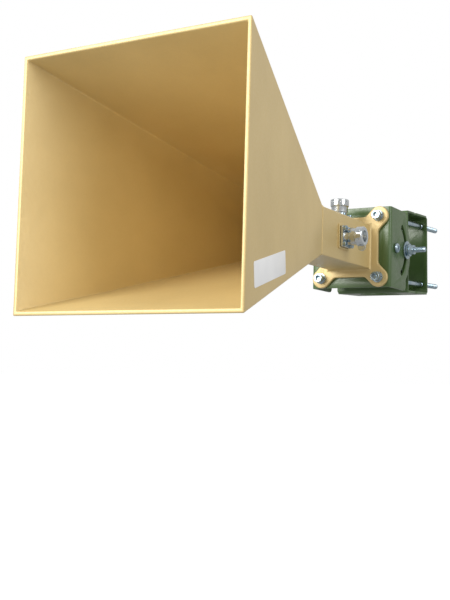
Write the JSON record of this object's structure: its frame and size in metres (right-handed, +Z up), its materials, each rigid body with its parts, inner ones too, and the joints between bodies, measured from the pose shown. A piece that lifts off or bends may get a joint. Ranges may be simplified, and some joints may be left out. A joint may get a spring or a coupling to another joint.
{
  "type": "horn antenna",
  "caption": "Square flared horn with a square guide, coaxial ports on two sides, and a tilting clamp bracket for a round mast.",
  "frame": {"origin": "on the mast's axis, half way up the clamp", "axes": "+Z up along the mast, the horn looks along -Y, +X on the side port's side"},
  "size_m": [0.208, 0.6027, 0.2077],
  "materials": {
    "tan_paint": "satin tan paint on aluminium",
    "green_paint": "semi-gloss olive green paint on folded steel",
    "zinc": "bright blue zinc plating",
    "nickel": "turned and nickel plated",
    "white_insulator": "matt",
    "contact_metal": "plated contact",
    "gasket_rubber": "matt",
    "label_film": "satin film",
    "bare_aluminium": "machined"
  },
  "bodies": {
    "mast_side": {"mast_bracket": "green_paint", "rear_clamp": "green_paint", "pivot_bolts": "zinc", "pivot_nuts": "zinc", "lock_bolts": "zinc", "lock_washers": "zinc", "lock_spring_washers": "zinc", "lock_nuts": "zinc", "clamp_bolts": "zinc", "clamp_washers": "zinc", "clamp_spring_washers": "zinc", "clamp_nuts": "zinc"},
    "tilt_head": {"horn_body": "tan_paint", "back_short": "bare_aluminium", "isolation_septum": "bare_aluminium", "label_plate": "label_film", "side_gasket": "gasket_rubber", "side_jack": "nickel", "side_insulator": "white_insulator", "side_contact": "contact_metal", "side_screws": "zinc", "top_gasket": "gasket_rubber", "top_jack": "nickel", "top_insulator": "white_insulator", "top_contact": "contact_metal", "top_screws": "zinc", "flange_screws": "zinc", "flange_spring_washers": "zinc", "flange_washers": "zinc", "flange_nuts": "zinc", "tilt_bracket": "green_paint"}
  },
  "joints": [
    {"name": "tilt", "type": "hinge", "parent": "mast_side", "child": "tilt_head", "pos_m": [0, -0.072, 0], "axis": [1, 0, 0], "range_deg": [-47, 53]}
  ]
}
